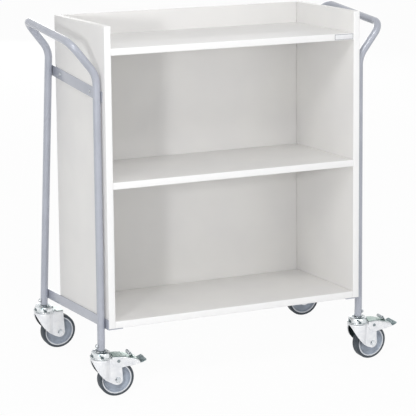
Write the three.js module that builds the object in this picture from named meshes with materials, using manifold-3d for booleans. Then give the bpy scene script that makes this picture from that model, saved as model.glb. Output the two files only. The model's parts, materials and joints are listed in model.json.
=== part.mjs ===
// Office trolley: a white board cabinet with a tray top and two shelves, hung between two bent
// tube frames on four swivel casters, the front two with a total-stop brake.
// Millimetres, +X to the right, +Y to the back, +Z up. The cabinet leans back in its frames.

import * as THREE from 'three';
import { mergeVertices } from 'three/addons/utils/BufferGeometryUtils.js';
import Module from 'manifold-3d';

const wasm = await Module();
wasm.setup();

// Cabinet
const cabinetWidth = 780;
const cabinetDepth = 340;
const cabinetHeight = 820;
const cabinetTiltDegrees = 6;
const cabinetAboveLegEnd = 64;
const boardThickness = 19;
const backThickness = 10;
const trayRimHeight = 60;
const middleShelfHeight = 400;
const edgeRadius = 1.5;

// Label on the tray's front edge
const labelWidth = 58;
const labelHeight = 15;
const labelThickness = 0.8;
const labelEndMargin = 3;

// Pins under the middle shelf
const pinRadius = 2.5;
const pinInBoard = 9;
const pinUnderShelf = 8;
const pinInset = 45;

// Tube frames
const tubeRadius = 10.5;
const tubeWall = 1.5;
const frontLegInset = 25;
const rearLegBehindCabinet = 89;
const legFootLength = 26;
const kneeRadius = 60;
const foldAboveCabinetFoot = 682;
const foldAngleDegrees = 39;
const foldRadius = 70;
const handleReach = 115;
const handleCornerRadius = 38;

// Crossbars between the legs
const barThickness = 2.5;
const upperBarHeight = 30;
const upperBarBelowFold = 58;
const barLap = 7;
const angleUpright = 28;
const angleShelfWidth = 44;
const angleFrontSetback = 1;

// Screws that hold the cabinet to the crossbars
const screwRadius = 2.4;
const screwHeadRadius = 5;
const screwHeadThickness = 2.6;
const screwLength = 17;
const upperScrewFromFrontLeg = 70;
const upperScrewFromRearLeg = 58;
const lowerScrewInset = 55;

// Casters
const wheelRadius = 50;
const treadHalfWidth = 8;
const shoulderDrop = 3;
const tyreHalfWidth = 14;
const tyreDepth = 8;
const hubRimHalfWidth = 12.5;
const hubRimDepth = 6;
const hubWebHalfWidth = 4;
const hubBossRadius = 12;
const hubBossHalfWidth = 16.4;
const casterTrail = 44;
const axleRadius = 4.5;
const axleHeadRadius = 7.5;
const axleHeadThickness = 5;
const forkGap = 0.6;
const sheetThickness = 3;
const forkCrownRadius = 29;
const cheekRoundRadius = 14.8;
const cheekTopTaper = 7;
const cheekFootDegrees = 25;
const topPlateLength = 23;
const topPlateHalfWidth = 17;
const topPlateCornerRadius = 5;
const wheelHeadroom = 9.6;
const domeRadius = 30;
const domeHeight = 20.6;
const domeShell = 2.5;
const domeRim = 4.4;
const raceGap = 0.5;
const stemBelowKnee = 4;
const kingpinRadius = 6;
const kingpinHeadRadius = 9;
const kingpinHeadThickness = 3;
const legBoltRadius = 3;
const legBoltHeadRadius = 5.8;
const legBoltHeadThickness = 5.5;
const legBoltAboveEnd = 12;
const casterSwingDegrees = { front_left: -4, rear_left: -1, front_right: 4, rear_right: -3 };

// Brake pedals of the front casters
const pedalSheet = 2;
const pedalPivotRise = 5;
const pedalPinRadius = 3;
const pedalPinHeadRadius = 4.5;
const pedalPinHeadThickness = 1.4;
const pedalReach = 66;
const pedalHeel = 22;
const pedalRise = 13;
const pedalFlangeDepth = 19;
const pedalDomeGap = 1.5;
const lipRun = 16.5;
const lipRise = 7.7;
const earFoot = 50;
const earTip = 36;
const earRise = 15.5;
const earCurlRadius = 3.6;
const earHalfWidth = 11;
const shoeHalfWidth = 9;
const shoeStart = 12;
const shoeEnd = 27;
const shoeGap = 6.2;

// Gaps between pieces that touch, and between pieces that turn in each other
const seam = 0.3;
const runningGap = 0.4;
const cutOverrun = 2;

// Facets
const tubeSides = 16;
const boreSides = 12;
const smallSides = 10;
const wheelSides = 24;
const domeSides = 20;
const roundSteps = 6;
const bendSteps = [1, 3, 5, 5, 3];
const edgeSteps = 2;
const hexagonSides = 6;

// Colours
const boardWhite = { color: 0xf2f2f0, roughness: 0.45, metalness: 0 };
const frameGrey = { color: 0xa9b0bb, roughness: 0.38, metalness: 0.15 };
const zinc = { color: 0xc9cdd1, roughness: 0.22, metalness: 1 };
const galvanised = { color: 0xdfe2e5, roughness: 0.4, metalness: 0.8 };
const tyreRubber = { color: 0x4b5056, roughness: 0.75, metalness: 0 };
const hubPlastic = { color: 0x98a0ab, roughness: 0.5, metalness: 0 };
const labelSilver = { color: 0xe4e6ea, roughness: 0.35, metalness: 0.3 };

const quarterTurn = Math.PI / 2;
const tilt = THREE.MathUtils.degToRad(cabinetTiltDegrees);
const foldAngle = THREE.MathUtils.degToRad(foldAngleDegrees);
const halfWidth = cabinetWidth / 2;
const innerHalfWidth = halfWidth - boardThickness;
const frameOffset = halfWidth + seam + barThickness + seam + tubeRadius;
const topShelfHeight = cabinetHeight - trayRimHeight;
const shelfDepth = cabinetDepth - backThickness - seam;

// Heights above the floor, from the wheels up
const forkRoof = 2 * wheelRadius + wheelHeadroom;
const forkTop = forkRoof + sheetThickness;
const domeFoot = forkTop + raceGap;
const domeTop = domeFoot + domeHeight;
const legEndHeight = domeTop + seam;
const legKneeHeight = legEndHeight + legFootLength;
const cabinetFrontHeight = legEndHeight + cabinetAboveLegEnd;
const foldHeight = cabinetFrontHeight + foldAboveCabinetFoot;
const upperBarCentreHeight = foldHeight - upperBarBelowFold;

const trolley = new THREE.Group();
const cabinet = new THREE.Group();
cabinet.rotation.x = -tilt;
cabinet.position.z = cabinetFrontHeight;
trolley.add(cabinet);

// The place of a point of the leaning cabinet, as [y, z] above the floor.
function fromCabinet(y, z) {
  const backward = y * Math.cos(tilt) + z * Math.sin(tilt);
  const upward = cabinetFrontHeight - y * Math.sin(tilt) + z * Math.cos(tilt);
  return [backward, upward];
}

// The same the other way: [y, z] in the leaning cabinet of a point above the floor.
function toCabinet(y, z) {
  const rise = z - cabinetFrontHeight;
  return [y * Math.cos(tilt) - rise * Math.sin(tilt), y * Math.sin(tilt) + rise * Math.cos(tilt)];
}

const rearLegY = fromCabinet(cabinetDepth + rearLegBehindCabinet, 0)[0];

// The front leg runs along the cabinet's front edge, so its place moves back with its height.
function frontLegY(height) {
  return frontLegInset / Math.cos(tilt) + (height - cabinetFrontHeight) * Math.tan(tilt);
}

// Adds one named piece.
function piece(group, name, geometry, look) {
  const mesh = new THREE.Mesh(geometry, new THREE.MeshStandardMaterial(look));
  mesh.name = name;
  group.add(mesh);
  return mesh;
}

// A geometry with its corners shared and without the flat triangles of a pole.
function welded(geometry) {
  const bare = geometry.clone();
  bare.deleteAttribute('normal');
  bare.deleteAttribute('uv');
  const merged = mergeVertices(bare);
  const corners = merged.index.array;
  const kept = [];
  for (let i = 0; i < corners.length; i += 3) {
    const [a, b, c] = [corners[i], corners[i + 1], corners[i + 2]];
    if (a !== b && b !== c && c !== a) kept.push(a, b, c);
  }
  merged.setIndex(kept);
  return merged;
}

function toSolid(geometry) {
  const shared = welded(geometry);
  const vertProperties = new Float32Array(shared.attributes.position.array);
  const triVerts = new Uint32Array(shared.index.array);
  return new wasm.Manifold(new wasm.Mesh({ numProp: 3, vertProperties, triVerts }));
}

function toGeometry(solid) {
  const mesh = solid.getMesh();
  const geometry = new THREE.BufferGeometry();
  geometry.setAttribute('position', new THREE.BufferAttribute(mesh.vertProperties, 3));
  geometry.setIndex(new THREE.BufferAttribute(mesh.triVerts, 1));
  geometry.computeVertexNormals();
  return geometry;
}

function joined(geometries) {
  const solids = geometries.map(toSolid);
  return toGeometry(solids.reduce((whole, next) => whole.add(next)));
}

function cut(geometry, holes) {
  const solids = holes.map(toSolid);
  return toGeometry(solids.reduce((whole, hole) => whole.subtract(hole), toSolid(geometry)));
}

// A box between two corners.
function block(low, high) {
  const size = high.map((value, i) => value - low[i]);
  const geometry = new THREE.BoxGeometry(...size);
  geometry.translate(...low.map((value, i) => value + size[i] / 2));
  return geometry;
}

// A round bar from one point to another.
function rod(radius, from, to, sides = smallSides) {
  const [start, end] = [new THREE.Vector3(...from), new THREE.Vector3(...to)];
  const along = end.clone().sub(start);
  const geometry = new THREE.CylinderGeometry(radius, radius, along.length(), sides);
  const up = new THREE.Vector3(0, 1, 0);
  geometry.applyQuaternion(new THREE.Quaternion().setFromUnitVectors(up, along.normalize()));
  const middle = start.add(end).divideScalar(2);
  geometry.translate(middle.x, middle.y, middle.z);
  return geometry;
}

// A profile of [radius, height] points turned round the Z axis, from its lower to its upper end.
function turned(profile, sides) {
  const points = profile.map(([radius, height]) => new THREE.Vector2(radius, height));
  const geometry = new THREE.LatheGeometry(points, sides);
  geometry.rotateX(quarterTurn);
  return geometry;
}

// The same for a ring, whose profile comes back to where it starts.
function turnedRing(profile, sides) {
  return turned([...profile, profile[0]], sides);
}

// An outline in the X-Z plane given a width along Y.
function sideCut(shape, fromY, toY) {
  const width = toY - fromY;
  const settings = { depth: width, bevelEnabled: false, curveSegments: roundSteps };
  const geometry = new THREE.ExtrudeGeometry(shape, settings);
  geometry.rotateX(quarterTurn);
  geometry.translate(0, toY, 0);
  return geometry;
}

// A board whose long upright edges are slightly rounded.
function board(low, high) {
  const [x0, y0] = low;
  const [x1, y1] = high;
  const r = edgeRadius;
  const plan = new THREE.Shape();
  plan.moveTo(x0 + r, y0);
  plan.lineTo(x1 - r, y0);
  plan.absarc(x1 - r, y0 + r, r, -quarterTurn, 0);
  plan.lineTo(x1, y1);
  plan.lineTo(x0, y1);
  plan.lineTo(x0, y0 + r);
  plan.absarc(x0 + r, y0 + r, r, Math.PI, Math.PI + quarterTurn);
  const settings = { depth: high[2] - low[2], bevelEnabled: false, curveSegments: edgeSteps };
  const geometry = new THREE.ExtrudeGeometry(plan, settings);
  geometry.translate(0, 0, low[2]);
  return geometry;
}

// A shelf, whose front edge is rounded along its whole length.
function shelf(top) {
  const r = edgeRadius;
  const bottom = top - boardThickness;
  const side = new THREE.Shape();
  side.moveTo(shelfDepth, bottom);
  side.lineTo(shelfDepth, top);
  side.lineTo(r, top);
  side.absarc(r, top - r, r, quarterTurn, Math.PI);
  side.lineTo(0, bottom + r);
  side.absarc(r, bottom + r, r, Math.PI, Math.PI + quarterTurn);
  const width = 2 * (innerHalfWidth - seam);
  const settings = { depth: width, bevelEnabled: false, curveSegments: edgeSteps };
  const geometry = new THREE.ExtrudeGeometry(side, settings);
  geometry.rotateZ(quarterTurn);
  geometry.rotateY(quarterTurn);
  geometry.translate(-width / 2, 0, 0);
  return geometry;
}

const pinHeight = middleShelfHeight - boardThickness - seam - pinRadius;
const pinPlaces = [pinInset, shelfDepth - pinInset];

// How far back the screws through the upper crossbar are.
const upperScrewPlaces = [
  frontLegY(upperBarCentreHeight) + upperScrewFromFrontLeg,
  rearLegY - upperScrewFromRearLeg,
];
const lowerScrewPlaces = [lowerScrewInset, shelfDepth - lowerScrewInset];
const lowerScrewX = innerHalfWidth - (angleShelfWidth - boardThickness - barThickness) / 2;

// One side panel, with blind holes for the crossbar's screws outside and the shelf pins inside.
function sidePanel(side) {
  const [near, far] = [side * innerHalfWidth, side * halfWidth];
  const low = [Math.min(near, far), 0, 0];
  const high = [Math.max(near, far), cabinetDepth, cabinetHeight];
  const screwDepth = screwLength - barThickness;
  const holes = upperScrewPlaces.map((y) => {
    const [yIn, zIn] = toCabinet(y, upperBarCentreHeight);
    const from = [side * (halfWidth + cutOverrun), yIn, zIn];
    return rod(screwRadius + seam, from, [side * (halfWidth - screwDepth), yIn, zIn]);
  });
  for (const y of pinPlaces) {
    const from = [side * (innerHalfWidth - cutOverrun), y, pinHeight];
    holes.push(rod(pinRadius + seam, from, [side * (innerHalfWidth + pinInBoard + seam), y, pinHeight]));
  }
  return cut(board(low, high), holes);
}

function buildCabinet() {
  piece(cabinet, 'side_panel_left', sidePanel(-1), boardWhite);
  piece(cabinet, 'side_panel_right', sidePanel(1), boardWhite);

  const reach = innerHalfWidth - seam;
  const backLow = [-reach, cabinetDepth - backThickness, 0];
  piece(cabinet, 'back_panel', block(backLow, [reach, cabinetDepth, cabinetHeight]), boardWhite);

  piece(cabinet, 'top_shelf', shelf(topShelfHeight), boardWhite);
  piece(cabinet, 'middle_shelf', shelf(middleShelfHeight), boardWhite);
  const screwHoles = [];
  for (const side of [-1, 1]) {
    for (const y of lowerScrewPlaces) {
      const top = screwLength - barThickness;
      const from = [side * lowerScrewX, y, -cutOverrun];
      screwHoles.push(rod(screwRadius + seam, from, [side * lowerScrewX, y, top]));
    }
  }
  piece(cabinet, 'bottom_shelf', cut(shelf(boardThickness), screwHoles), boardWhite);

  const labelRight = innerHalfWidth - seam - labelEndMargin;
  const labelMiddle = topShelfHeight - boardThickness / 2;
  const labelLow = [labelRight - labelWidth, -seam - labelThickness, labelMiddle - labelHeight / 2];
  const labelHigh = [labelRight, -seam, labelMiddle + labelHeight / 2];
  piece(cabinet, 'label_plate', block(labelLow, labelHigh), labelSilver);

  for (const [sideName, side] of [['left', -1], ['right', 1]]) {
    pinPlaces.forEach((y, i) => {
      const from = [side * (innerHalfWidth + pinInBoard), y, pinHeight];
      const to = [side * (innerHalfWidth - pinUnderShelf), y, pinHeight];
      const place = i === 0 ? 'front' : 'rear';
      piece(cabinet, `shelf_pin_${place}_${sideName}`, rod(pinRadius, from, to), zinc);
    });
  }
}

// A centreline of straights and round bends. Its stations, where the tube's sections stand, are
// both ends of each straight and a few more round each bend.
class BentLine extends THREE.Curve {
  constructor(corners, radii, stepsPerBend) {
    super();
    this.stations = [];
    const last = corners.length - 1;
    const toward = (from, to) => to.clone().sub(from).normalize();
    this.stations.push([corners[0], toward(corners[0], corners[1])]);
    for (let i = 1; i < last; i += 1) {
      const [before, after] = [toward(corners[i - 1], corners[i]), toward(corners[i], corners[i + 1])];
      const turn = before.angleTo(after);
      const start = corners[i].clone().addScaledVector(before, -radii[i - 1] * Math.tan(turn / 2));
      const axis = before.clone().cross(after).normalize();
      const outward = before.clone().cross(axis).multiplyScalar(radii[i - 1]);
      const centre = start.clone().sub(outward);
      for (let step = 0; step <= stepsPerBend[i - 1]; step += 1) {
        const angle = turn * step / stepsPerBend[i - 1];
        const point = outward.clone().applyAxisAngle(axis, angle).add(centre);
        this.stations.push([point, before.clone().applyAxisAngle(axis, angle)]);
      }
    }
    this.stations.push([corners[last], toward(corners[last - 1], corners[last])]);
  }

  station(share) {
    return this.stations[Math.round(share * (this.stations.length - 1))];
  }

  getPointAt(share, target = new THREE.Vector3()) {
    return target.copy(this.station(share)[0]);
  }

  getTangentAt(share, target = new THREE.Vector3()) {
    return target.copy(this.station(share)[1]);
  }
}

// One frame's tube: up the front leg, out and over as the handle, and down the rear leg.
function handleTube(side) {
  const x = side * frameOffset;
  const handleX = x + side * handleReach * Math.sin(foldAngle);
  const handleZ = foldHeight + handleReach * Math.cos(foldAngle);
  const handleFrontY = frontLegY(foldHeight) + handleReach * Math.tan(tilt);
  const corners = [
    new THREE.Vector3(x, frontLegY(legKneeHeight), legEndHeight),
    new THREE.Vector3(x, frontLegY(legKneeHeight), legKneeHeight),
    new THREE.Vector3(x, frontLegY(foldHeight), foldHeight),
    new THREE.Vector3(handleX, handleFrontY, handleZ),
    new THREE.Vector3(handleX, rearLegY, handleZ),
    new THREE.Vector3(x, rearLegY, foldHeight),
    new THREE.Vector3(x, rearLegY, legEndHeight),
  ];
  const radii = [kneeRadius, foldRadius, handleCornerRadius, handleCornerRadius, foldRadius];
  const line = new BentLine(corners, radii, bendSteps);

  const section = new THREE.Shape();
  section.absarc(0, 0, tubeRadius, 0, 2 * Math.PI);
  const bore = new THREE.Path();
  bore.absarc(0, 0, tubeRadius - tubeWall, 0, 2 * Math.PI);
  section.holes.push(bore);
  const steps = line.stations.length - 1;
  const settings = { steps, extrudePath: line, curveSegments: tubeSides / 2 };
  const tube = new THREE.ExtrudeGeometry(section, settings);

  const boltHeight = legEndHeight + legBoltAboveEnd;
  const holes = [frontLegY(legKneeHeight), rearLegY].map((y) => {
    const from = [x, y, boltHeight];
    return rod(legBoltRadius + seam, from, [x + side * (tubeRadius + cutOverrun), y, boltHeight]);
  });
  return cut(tube, holes);
}

// The flat bar that ties the legs together under the handle and holds the cabinet's side.
function upperCrossbar(side) {
  const z = upperBarCentreHeight;
  const [near, far] = [side * (halfWidth + seam), side * (halfWidth + seam + barThickness)];
  const low = [Math.min(near, far), frontLegY(z) - barLap, z - upperBarHeight / 2];
  const high = [Math.max(near, far), rearLegY + barLap, z + upperBarHeight / 2];
  const holes = upperScrewPlaces.map((y) => {
    return rod(screwRadius + seam, [near - side * cutOverrun, y, z], [far + side * cutOverrun, y, z]);
  });
  return cut(block(low, high), holes);
}

// The angle that the cabinet stands in: an upright leg outside its panel and a flat one under it.
function lowerCrossbar(side) {
  const [near, far] = [side * (halfWidth + seam), side * (halfWidth + seam + barThickness)];
  const under = -seam - barThickness;
  const top = under + angleUpright;
  const rearEnd = toCabinet(rearLegY, fromCabinet(cabinetDepth + rearLegBehindCabinet, top / 2)[1])[0];
  const uprightLow = [Math.min(near, far), angleFrontSetback, under];
  const uprightHigh = [Math.max(near, far), rearEnd + barLap, top];
  const flatNear = side * (halfWidth + seam + barThickness - angleShelfWidth);
  const flatLow = [Math.min(flatNear, far), angleFrontSetback, under];
  const flatHigh = [Math.max(flatNear, far), cabinetDepth, -seam];
  const angle = joined([block(uprightLow, uprightHigh), block(flatLow, flatHigh)]);
  const holes = lowerScrewPlaces.map((y) => {
    const x = side * lowerScrewX;
    return rod(screwRadius + seam, [x, y, under - cutOverrun], [x, y, cutOverrun]);
  });
  return cut(angle, holes);
}

// A round head's flat crown as a share of its radius, and its edge as a share of its thickness.
const headCrownShare = 0.65;
const headEdgeShare = 0.4;

// A round-headed screw that points along +Z, with the underside of its head at the origin.
function screw() {
  const shank = screwLength - seam;
  return turned([
    [0, -screwHeadThickness],
    [screwHeadRadius * headCrownShare, -screwHeadThickness],
    [screwHeadRadius, -screwHeadThickness * headEdgeShare],
    [screwHeadRadius, 0],
    [screwRadius, 0],
    [screwRadius, shank - screwRadius],
    [0, shank],
  ], smallSides);
}

function buildFrames() {
  for (const [sideName, side] of [['left', -1], ['right', 1]]) {
    piece(trolley, `handle_tube_${sideName}`, handleTube(side), frameGrey);
    piece(trolley, `upper_crossbar_${sideName}`, upperCrossbar(side), frameGrey);
    piece(cabinet, `lower_crossbar_${sideName}`, lowerCrossbar(side), frameGrey);
    const outside = side * (halfWidth + seam + barThickness + seam);
    upperScrewPlaces.forEach((y, i) => {
      const place = i === 0 ? 'front' : 'rear';
      const mesh = piece(trolley, `upper_screw_${place}_${sideName}`, screw(), zinc);
      mesh.position.set(outside, y, upperBarCentreHeight);
      mesh.rotation.y = -side * quarterTurn;
    });
    lowerScrewPlaces.forEach((y, i) => {
      const place = i === 0 ? 'front' : 'rear';
      const mesh = piece(cabinet, `lower_screw_${place}_${sideName}`, screw(), zinc);
      mesh.position.set(side * lowerScrewX, y, -seam - barThickness - seam);
    });
  }
}

// Widths of a caster from its middle out, and its stem's and pedal's places.
const cheekInside = hubBossHalfWidth + forkGap;
const cheekOutside = cheekInside + sheetThickness;
const stemRadius = (tubeRadius - tubeWall) * Math.cos(Math.PI / tubeSides) - seam;
const stemShoulder = domeTop - domeShell - seam;
const stemTop = legKneeHeight - stemBelowKnee;
const pivotHeight = 2 * wheelRadius + pedalPivotRise;
const cheekTopEnd = casterTrail + cheekRoundRadius - cheekTopTaper;
const flangeInside = cheekOutside + runningGap;
const flangeOutside = flangeInside + pedalSheet;

// The stem that plugs into the leg, with the kingpin below it that carries the fork.
function stem() {
  const headTop = forkRoof - runningGap;
  const body = turned([
    [0, headTop - kingpinHeadThickness],
    [kingpinHeadRadius, headTop - kingpinHeadThickness],
    [kingpinHeadRadius, headTop],
    [kingpinRadius, headTop],
    [kingpinRadius, stemShoulder],
    [stemRadius, stemShoulder],
    [stemRadius, stemTop - seam],
    [0, stemTop],
  ], boreSides);
  return body;
}

// The dome's wall bends at a share of its height over its rim, and its shoulder lies at a share of
// the way from the leg out to its wall.
const domeWallShare = 0.45;
const domeShoulderShare = 0.78;

// The domed upper half of the swivel bearing: a pressed shell that the leg stands on.
function swivelDome() {
  const seat = tubeRadius + domeShell / 2;
  const hole = stemRadius + seam;
  const rimTop = domeFoot + domeRim;
  const waist = domeRadius - domeShell;
  const wallHeight = (domeTop - rimTop) * domeWallShare;
  const shoulder = seat + (waist - seat) * domeShoulderShare;
  return turnedRing([
    [waist - domeShell, domeFoot],
    [domeRadius, domeFoot],
    [domeRadius, rimTop - domeRim / 2],
    [waist, rimTop],
    [waist - domeShell / 2, rimTop + wallHeight],
    [shoulder, domeTop - domeShell],
    [seat, domeTop],
    [hole, domeTop],
    [hole, domeTop - domeShell],
    [shoulder - domeShell, domeTop - 2 * domeShell],
    [waist - 2 * domeShell, rimTop],
  ], domeSides);
}

// The plate on top of a fork without a brake, from beside the dome to just past the roof's end.
function topPlate() {
  const start = domeRadius + pedalDomeGap;
  const [end, wide, r] = [start + topPlateLength, topPlateHalfWidth, topPlateCornerRadius];
  const plan = new THREE.Shape();
  plan.moveTo(start, -wide);
  plan.lineTo(end - r, -wide);
  plan.absarc(end - r, r - wide, r, -quarterTurn, 0);
  plan.absarc(end - r, wide - r, r, 0, quarterTurn);
  plan.lineTo(start, wide);
  const sunk = sheetThickness / 2;
  const settings = { depth: sheetThickness + sunk, bevelEnabled: false, curveSegments: edgeSteps };
  const geometry = new THREE.ExtrudeGeometry(plan, settings);
  geometry.translate(0, 0, forkTop - sunk);
  return geometry;
}

// Where a cheek's front edge starts, as a share of the crown's radius, and where it bends, as a
// share of the way to its foot, where it runs into the round about the axle.
const cheekFrontShare = 0.97;
const cheekBendShare = 0.4;

// The fork: a round crown, a roof over the wheel and two cheeks that taper to the axle.
function fork(roofEnd, braked) {
  const tip = { x: casterTrail, z: wheelRadius };
  const front = { x: -forkCrownRadius * cheekFrontShare, z: forkTop };
  const footAngle = THREE.MathUtils.degToRad(cheekFootDegrees);
  const foot = {
    x: tip.x - cheekRoundRadius * Math.sin(footAngle),
    z: tip.z - cheekRoundRadius * Math.cos(footAngle),
  };
  const bendX = front.x + (foot.x - front.x) * cheekBendShare;
  const bend = { x: bendX, z: foot.z + (foot.x - bendX) * Math.tan(footAngle) };
  const outline = new THREE.Shape();
  outline.moveTo(front.x, front.z);
  outline.quadraticCurveTo(bend.x, bend.z, foot.x, foot.z);
  outline.absarc(tip.x, tip.z, cheekRoundRadius, -quarterTurn - footAngle, 0);
  outline.lineTo(cheekTopEnd, forkTop);
  const parts = [
    rod(forkCrownRadius, [0, 0, forkRoof], [0, 0, forkTop], domeSides),
    block([0, -cheekOutside, forkRoof], [roofEnd, cheekOutside, forkTop]),
    sideCut(outline, -cheekOutside, -cheekInside),
    sideCut(outline, cheekInside, cheekOutside),
  ];
  if (!braked) parts.push(topPlate());
  const wide = cheekOutside + cutOverrun;
  const holes = [
    rod(kingpinRadius + runningGap, [0, 0, forkRoof - cutOverrun], [0, 0, forkTop + cutOverrun]),
    rod(axleRadius + seam, [tip.x, -wide, tip.z], [tip.x, wide, tip.z]),
  ];
  if (braked) {
    holes.push(rod(pedalPinRadius + seam, [tip.x, -wide, pivotHeight], [tip.x, wide, pivotHeight]));
  }
  return cut(joined(parts), holes);
}

// How far up the tyre's depth its side stands out to its full width, as a share.
const tyreWallShare = 0.35;

// Wheel pieces are turned round Z and then laid with that axis along Y.
function tyre() {
  const inner = wheelRadius - tyreDepth;
  const shoulder = wheelRadius - shoulderDrop;
  const geometry = turnedRing([
    [inner, -hubRimHalfWidth],
    [inner + tyreDepth * tyreWallShare, -tyreHalfWidth],
    [shoulder, -tyreHalfWidth + shoulderDrop / 2],
    [wheelRadius, -treadHalfWidth],
    [wheelRadius, treadHalfWidth],
    [shoulder, tyreHalfWidth - shoulderDrop / 2],
    [inner + tyreDepth * tyreWallShare, tyreHalfWidth],
    [inner, hubRimHalfWidth],
  ], wheelSides);
  geometry.rotateX(quarterTurn);
  return geometry;
}

function hub() {
  const outer = wheelRadius - tyreDepth - seam;
  const rimInside = outer - hubRimDepth;
  const bore = (axleRadius + runningGap) / Math.cos(Math.PI / wheelSides);
  const geometry = turnedRing([
    [bore, -hubBossHalfWidth],
    [hubBossRadius, -hubBossHalfWidth],
    [hubBossRadius, -hubWebHalfWidth],
    [rimInside, -hubWebHalfWidth],
    [rimInside, -hubRimHalfWidth],
    [outer, -hubRimHalfWidth],
    [outer, hubRimHalfWidth],
    [rimInside, hubRimHalfWidth],
    [rimInside, hubWebHalfWidth],
    [hubBossRadius, hubWebHalfWidth],
    [hubBossRadius, hubBossHalfWidth],
    [bore, hubBossHalfWidth],
  ], wheelSides);
  geometry.rotateX(quarterTurn);
  return geometry;
}

// The axle bolt, with a hexagon head at the front and its nut at the back.
function axleBolt() {
  const seat = cheekOutside + seam;
  const end = seat + axleHeadThickness;
  return joined([
    rod(axleRadius, [0, -seat - axleHeadThickness / 2, 0], [0, end, 0]),
    rod(axleHeadRadius, [0, -end, 0], [0, -seat, 0], hexagonSides),
    rod(axleHeadRadius, [0, seat, 0], [0, end, 0], hexagonSides),
  ]);
}

// The bolt through the leg's outer wall into the stem. It points along +X, inwards.
function legBolt() {
  const geometry = turned([
    [0, -legBoltHeadThickness],
    [legBoltHeadRadius * headCrownShare, -legBoltHeadThickness],
    [legBoltHeadRadius, -legBoltHeadThickness * headEdgeShare],
    [legBoltHeadRadius, 0],
    [legBoltRadius, 0],
    [legBoltRadius, tubeRadius],
    [0, tubeRadius],
  ], smallSides);
  geometry.rotateY(quarterTurn);
  return geometry;
}

// The pedal's upper line from the pin to the toe, and its flanges' lower edge back from the toe,
// as shares of its reach and of its rise above the pin or its flanges' depth below it.
const pedalLineShares = [
  [0, 1], [0.27, 0.85], [0.47, 0.54], [0.79, 0.12], [0.91, -0.25], [1, -0.8],
];
const pedalFlangeShares = [
  [0.98, 0.64], [0.8, 0.76], [0.55, 0.9], [0.3, 0.95], [0.15, 1.04], [0, 1],
];
const pedalHeelShare = 1;

function pedalLine() {
  const beyondPin = pedalLineShares.map(([along, height]) => {
    return new THREE.Vector2(along * pedalReach, height * pedalRise);
  });
  return [new THREE.Vector2(-pedalHeel, pedalHeelShare * pedalRise), ...beyondPin];
}

// The height of the pedal's upper line at one distance from the pin.
function pedalHeight(x) {
  const line = pedalLine();
  const next = line.findIndex((point) => point.x >= x);
  const [a, b] = [line[next - 1], line[next]];
  return a.y + (b.y - a.y) * (x - a.x) / (b.x - a.x);
}

// The pedal is a channel: a sheet along the upper line and two flanges that reach down outside
// the fork. It has a tongue with a curled end to release it by, a raised lip at the toe, a heel
// that curves round the dome, and holes for its pin.
function pedal() {
  const line = pedalLine();
  const under = line.map((point) => new THREE.Vector2(point.x, point.y - pedalSheet)).reverse();
  const web = new THREE.Shape([...line, ...under]);
  const flange = new THREE.Shape(line);
  for (const [along, depth] of pedalFlangeShares) {
    flange.lineTo(along * pedalReach, -depth * pedalFlangeDepth);
  }
  flange.lineTo(-pedalHeel, -pedalSheet);

  const footHeight = pedalHeight(earFoot);
  const tongue = new THREE.Shape();
  tongue.moveTo(earTip, earRise);
  tongue.lineTo(earFoot - pedalSheet, footHeight - pedalSheet / 2);
  tongue.lineTo(earFoot + pedalSheet, footHeight - pedalSheet / 2);
  tongue.lineTo(earTip + pedalSheet, earRise + pedalSheet / 2);
  const toe = line[line.length - 1];
  const lip = new THREE.Shape();
  lip.moveTo(toe.x - pedalSheet, toe.y - pedalSheet / 2);
  lip.lineTo(toe.x, toe.y - pedalSheet);
  lip.lineTo(toe.x + lipRun, toe.y + lipRise - pedalSheet);
  lip.lineTo(toe.x + lipRun - pedalSheet, toe.y + lipRise);

  const wide = flangeOutside + cutOverrun;
  const tall = pedalRise + cutOverrun;
  const parts = [
    sideCut(web, -flangeOutside, flangeOutside),
    sideCut(flange, -flangeOutside, -flangeInside),
    sideCut(flange, flangeInside, flangeOutside),
    sideCut(tongue, -earHalfWidth, earHalfWidth),
    rod(earCurlRadius, [earTip, -earHalfWidth, earRise], [earTip, earHalfWidth, earRise]),
    sideCut(lip, -flangeOutside, flangeOutside),
  ];
  const holes = [
    rod(pedalPinRadius + runningGap, [0, -wide, 0], [0, wide, 0]),
    rod(domeRadius + pedalDomeGap, [-casterTrail, 0, -tall], [-casterTrail, 0, tall], domeSides),
  ];
  return cut(joined(parts), holes);
}

// The shoe under the pedal. Its foot follows the tyre, at the distance that the stroke closes.
function brakeShoe() {
  const underside = (x) => pedalHeight(x) - pedalSheet - seam;
  const footRadius = wheelRadius + shoeGap;
  const wheelCentre = wheelRadius - pivotHeight;
  const shape = new THREE.Shape();
  shape.moveTo(shoeStart, underside(shoeStart));
  shape.lineTo(shoeEnd, underside(shoeEnd));
  const [from, to] = [Math.acos(shoeEnd / footRadius), Math.acos(shoeStart / footRadius)];
  shape.absarc(0, wheelCentre, footRadius, from, to);
  return sideCut(shape, -shoeHalfWidth, shoeHalfWidth);
}

function pedalPin() {
  const seat = flangeOutside + seam;
  const end = seat + pedalPinHeadThickness;
  return joined([
    rod(pedalPinRadius, [0, -seat - pedalPinHeadThickness / 2, 0], [0, end, 0]),
    rod(pedalPinHeadRadius, [0, -end, 0], [0, -seat, 0]),
    rod(pedalPinHeadRadius, [0, seat, 0], [0, end, 0]),
  ]);
}

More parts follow.
